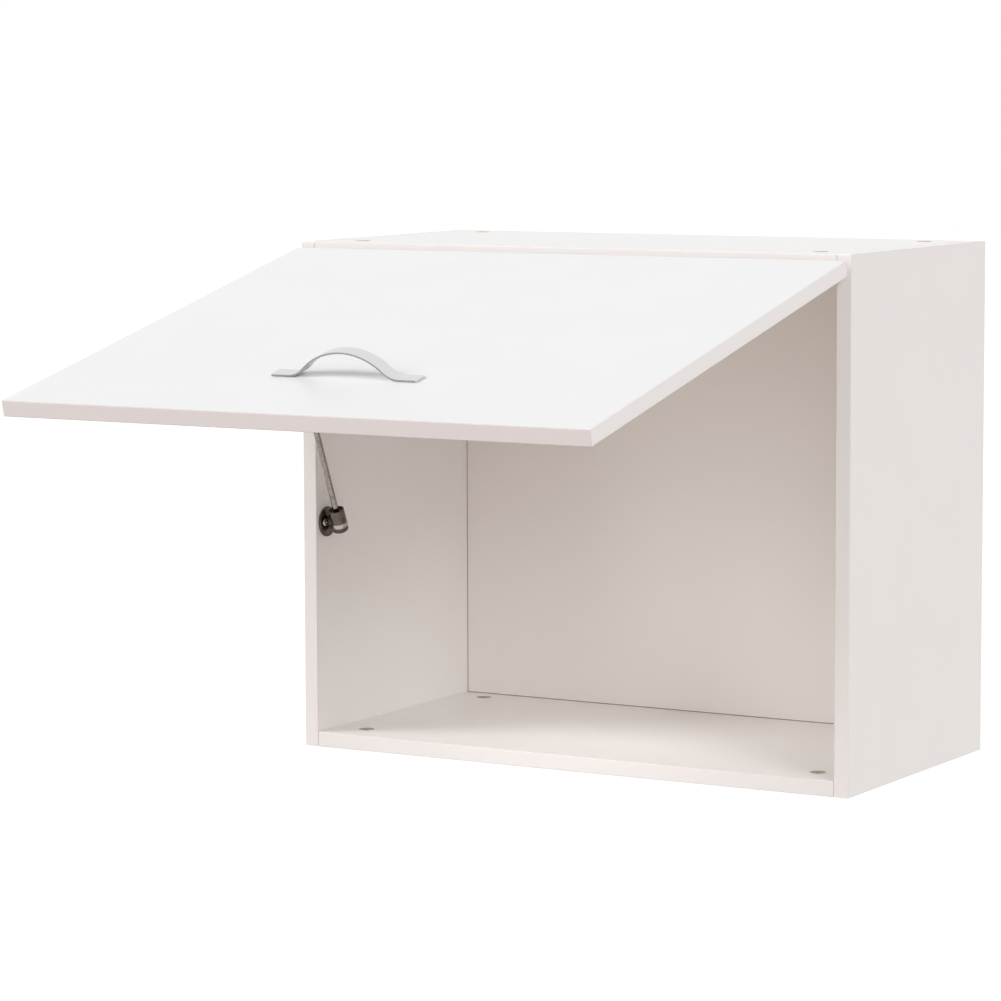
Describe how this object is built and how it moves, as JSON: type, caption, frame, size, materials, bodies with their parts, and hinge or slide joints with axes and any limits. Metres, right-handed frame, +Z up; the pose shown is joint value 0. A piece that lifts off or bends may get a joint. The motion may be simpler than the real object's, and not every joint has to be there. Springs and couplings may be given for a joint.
{
  "type": "lift up wall cabinet",
  "caption": "White box wall cabinet with an open interior and a top-hung door that swings up on concealed hinges and a braked side stay, with a bowed strap handle.",
  "frame": {"origin": "middle of the bottom board's rear edge, in the wall plane, at half the board's thickness", "axes": "+X to the right as seen from the front, +Y from the open front back to the wall, +Z up"},
  "size_m": [0.6, 0.7976, 0.505],
  "materials": {
    "melamine": "white melamine-faced chipboard, satin",
    "hardboard": "white-faced hardboard, satin",
    "satin_metal": "satin anodised",
    "nickel": "nickel plated, semi-gloss",
    "dark_nickel": "black nickel plated, semi-gloss",
    "chrome": "bright plated",
    "zinc_steel": "bright zinc plated",
    "white_plastic": "moulded, fine matte",
    "dark_plastic": "moulded, matte"
  },
  "bodies": {
    "carcass": {"side_left": "melamine", "side_right": "melamine", "top_board": "melamine", "bottom_board": "melamine", "back_panel": "hardboard", "cam_top_front_left": "nickel", "cam_top_front_right": "nickel", "cam_top_rear_left": "nickel", "cam_top_rear_right": "nickel", "cam_bottom_front_left": "nickel", "cam_bottom_front_right": "nickel", "cam_bottom_rear_left": "nickel", "cam_bottom_rear_right": "nickel", "cam_bolt_top_front_left": "zinc_steel", "cam_bolt_top_front_right": "zinc_steel", "cam_bolt_top_rear_left": "zinc_steel", "cam_bolt_top_rear_right": "zinc_steel", "cam_bolt_bottom_front_left": "zinc_steel", "cam_bolt_bottom_front_right": "zinc_steel", "cam_bolt_bottom_rear_left": "zinc_steel", "cam_bolt_bottom_rear_right": "zinc_steel", "hinge_plate_left": "nickel", "hinge_plate_right": "nickel", "hinge_arm_left": "nickel", "hinge_arm_right": "nickel", "hinge_plate_screw_left_1": "zinc_steel", "hinge_plate_screw_left_2": "zinc_steel", "hinge_plate_screw_right_1": "zinc_steel", "hinge_plate_screw_right_2": "zinc_steel", "stay_base": "dark_nickel", "stay_base_screw_1": "nickel", "stay_base_screw_2": "nickel", "hanger_housing_left": "white_plastic", "hanger_housing_right": "white_plastic", "hanger_screw_left": "zinc_steel", "hanger_screw_right": "zinc_steel"},
    "door": {"door_panel": "melamine", "handle": "satin_metal", "handle_screw_1": "zinc_steel", "handle_screw_2": "zinc_steel", "hinge_cup_left": "nickel", "hinge_cup_right": "nickel", "hinge_cup_screw_left_1": "zinc_steel", "hinge_cup_screw_left_2": "zinc_steel", "hinge_cup_screw_right_1": "zinc_steel", "hinge_cup_screw_right_2": "zinc_steel", "stay_bracket": "nickel", "stay_pin": "zinc_steel", "stay_bracket_screw_1": "zinc_steel", "stay_bracket_screw_2": "zinc_steel"},
    "inner_link_left": {"hinge_inner_link_left": "zinc_steel"},
    "inner_link_right": {"hinge_inner_link_right": "zinc_steel"},
    "outer_link_left": {"hinge_outer_link_left": "zinc_steel"},
    "outer_link_right": {"hinge_outer_link_right": "zinc_steel"},
    "rod": {"stay_rod": "chrome", "stay_end_buffer": "dark_plastic"},
    "swivel": {"stay_barrel": "dark_nickel", "stay_brake_ring": "chrome"},
    "hook_left": {"hanger_hook_left": "zinc_steel"},
    "hook_right": {"hanger_hook_right": "zinc_steel"}
  },
  "joints": [
    {"name": "door_lift", "type": "hinge", "parent": "carcass", "child": "door", "pos_m": [0, -0.321, 0.488], "axis": [-1, 0, 0], "range_deg": [-76.5, 0]},
    {"name": "inner_link_left_turn", "type": "hinge", "parent": "carcass", "child": "inner_link_left", "pos_m": [-0.2, -0.302, 0.4685], "axis": [-1, 0, 0], "range_deg": [0, 26.62]},
    {"name": "inner_link_right_turn", "type": "hinge", "parent": "carcass", "child": "inner_link_right", "pos_m": [0.2, -0.302, 0.4685], "axis": [-1, 0, 0], "range_deg": [0, 26.62]},
    {"name": "outer_link_left_turn", "type": "hinge", "parent": "carcass", "child": "outer_link_left", "pos_m": [-0.2, -0.305, 0.4625], "axis": [-1, 0, 0], "range_deg": [0, 19.98]},
    {"name": "outer_link_right_turn", "type": "hinge", "parent": "carcass", "child": "outer_link_right", "pos_m": [0.2, -0.305, 0.4625], "axis": [-1, 0, 0], "range_deg": [0, 19.98]},
    {"name": "rod_pivot", "type": "hinge", "parent": "door", "child": "rod", "pos_m": [-0.2704, -0.3865, 0.44811], "axis": [-1, 0, 0], "range_deg": [0, 96.84]},
    {"name": "rod_slide", "type": "slide", "parent": "rod", "child": "swivel", "axis": [0, -0.3945, 0.9189], "range_m": [0, 0.05321]},
    {"name": "hook_left_height", "type": "slide", "parent": "carcass", "child": "hook_left", "axis": [0, 0, 1], "range_m": [-0.006, 0.006]},
    {"name": "hook_right_height", "type": "slide", "parent": "carcass", "child": "hook_right", "axis": [0, 0, 1], "range_m": [-0.006, 0.006]}
  ],
  "couplings": [
    {"joint": "inner_link_left_turn", "follows": "door_lift", "ratio": -0.34784},
    {"joint": "inner_link_right_turn", "follows": "door_lift", "ratio": -0.34784},
    {"joint": "outer_link_left_turn", "follows": "door_lift", "ratio": -0.26113},
    {"joint": "outer_link_right_turn", "follows": "door_lift", "ratio": -0.26113},
    {"joint": "rod_pivot", "follows": "door_lift", "ratio": -1.2658},
    {"joint": "rod_slide", "follows": "door_lift", "m_per_rad": -0.039849}
  ]
}
